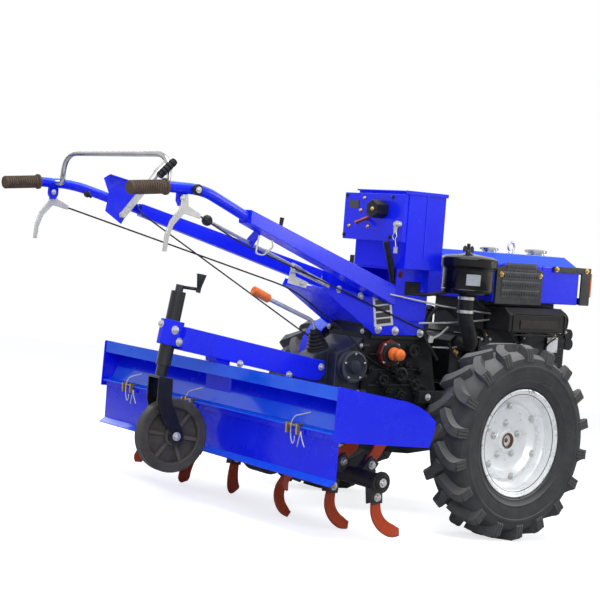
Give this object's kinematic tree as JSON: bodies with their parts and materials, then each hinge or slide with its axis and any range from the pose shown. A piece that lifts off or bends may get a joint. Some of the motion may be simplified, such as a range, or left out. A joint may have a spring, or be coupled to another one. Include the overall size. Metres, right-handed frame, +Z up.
{
  "type": "walking tractor with rotary tiller",
  "caption": "Walk-behind two-wheeled diesel tractor with long handles, lugged tyres and a hooded rear rotary tiller with a screw-set gauge wheel.",
  "frame": {"origin": "middle of the bounding box at floor level, where the tyres and the lowest tines stand", "axes": "+X forward from the grips to the engine, +Y to the left, +Z up"},
  "size_m": [2.0364, 1.22, 1.0569],
  "materials": {
    "blue_paint": "gloss cobalt blue paint on sheet steel",
    "black_paint": "black enamel on steel",
    "black_cast": "black painted casting",
    "grey_cast": "dark grey painted casting",
    "galvanised": "galvanised pressed steel",
    "zinc": "bright zinc plated steel",
    "chrome": "bright chrome plate",
    "rubber": "matt charcoal rubber",
    "black_rubber": "black moulded rubber",
    "grip_rubber": "ribbed brown rubber",
    "black_plastic": "black moulded plastic",
    "grey_plastic": "grey-brown moulded plastic",
    "orange_plastic": "orange moulded plastic",
    "tine_paint": "red-brown paint on forged steel, black at the shaft"
  },
  "bodies": {
    "tractor_frame": {"gearbox_housing": "black_cast", "rear_casing": "grey_cast", "gearbox_side_cover": "grey_cast", "pto_cap": "orange_plastic", "gear_lever_boot": "black_rubber", "gear_lever": "zinc", "gear_lever_grip": "orange_plastic", "chassis_frame": "black_paint", "engine_block": "black_cast", "cylinder_head": "black_cast", "radiator_housing": "blue_paint", "fuel_tank": "blue_paint", "radiator_grille_right": "black_paint", "radiator_grille_left": "black_paint", "radiator_cap": "chrome", "fuel_cap": "chrome", "lifting_eye": "zinc", "tank_guard": "black_paint", "reflector_strip": "orange_plastic", "air_cleaner": "black_paint", "intake_pipe": "black_paint", "muffler": "black_paint", "flywheel": "grey_cast", "clutch_pulley": "grey_cast", "drive_belts": "rubber", "belt_guard": "blue_paint", "handle_base": "blue_paint", "control_rod": "zinc", "handle_beam_right": "blue_paint", "handle_beam_left": "blue_paint", "clutch_lever": "zinc", "handle_tube_right": "blue_paint", "grip_right": "grip_rubber", "steering_lever_right": "zinc", "handle_tube_left": "blue_paint", "grip_left": "grip_rubber", "steering_lever_left": "zinc", "handle_hoop": "chrome", "steering_cable_right": "black_rubber", "steering_cable_left": "black_rubber", "clutch_cable": "black_rubber", "control_box": "blue_paint", "control_panel": "blue_paint", "relay_case": "black_plastic", "tiller_case": "grey_cast", "tiller_hood": "blue_paint", "tail_beam": "blue_paint", "gauge_sleeve": "black_paint", "gauge_clamp": "blue_paint", "gauge_crank": "black_paint"},
    "wheel_right_body": {"tyre_right": "rubber", "wheel_rim_right": "galvanised"},
    "wheel_left_body": {"tyre_left": "rubber", "wheel_rim_left": "galvanised"},
    "rotor_body": {"tiller_rotor": "tine_paint"},
    "flap_body": {"rear_flap": "blue_paint"},
    "gauge_post_body": {"gauge_post": "black_paint"},
    "gauge_fork_body": {"gauge_fork": "black_paint"},
    "gauge_wheel_body": {"gauge_wheel": "grey_plastic"}
  },
  "joints": [
    {"name": "wheel_right_spin", "type": "hinge", "parent": "tractor_frame", "child": "wheel_right_body", "pos_m": [0.42503, -0.43, 0.30583], "axis": [0, 1, 0], "continuous": true},
    {"name": "wheel_left_spin", "type": "hinge", "parent": "tractor_frame", "child": "wheel_left_body", "pos_m": [0.42503, 0.43, 0.30583], "axis": [0, 1, 0], "continuous": true},
    {"name": "rotor_spin", "type": "hinge", "parent": "tractor_frame", "child": "rotor_body", "pos_m": [-0.18464, 0, 0.16976], "axis": [0, 1, 0], "continuous": true},
    {"name": "flap_hinge", "type": "hinge", "parent": "tractor_frame", "child": "flap_body", "pos_m": [-0.42441, 0, 0.28689], "axis": [0, 1, 0], "range_deg": [0, 7]},
    {"name": "gauge_height", "type": "slide", "parent": "tractor_frame", "child": "gauge_post_body", "axis": [0.0793, 0, 0.9969], "range_m": [-0.1, 0.015]},
    {"name": "gauge_swivel", "type": "hinge", "parent": "gauge_post_body", "child": "gauge_fork_body", "pos_m": [-0.60798, 0, 0.36865], "axis": [0.0793, 0, 0.9969], "continuous": true},
    {"name": "gauge_wheel_spin", "type": "hinge", "parent": "gauge_fork_body", "child": "gauge_wheel_body", "pos_m": [-0.54967, -0.00877, 0.2005], "axis": [0.1215, 0.9925, -0.0097], "continuous": true}
  ]
}
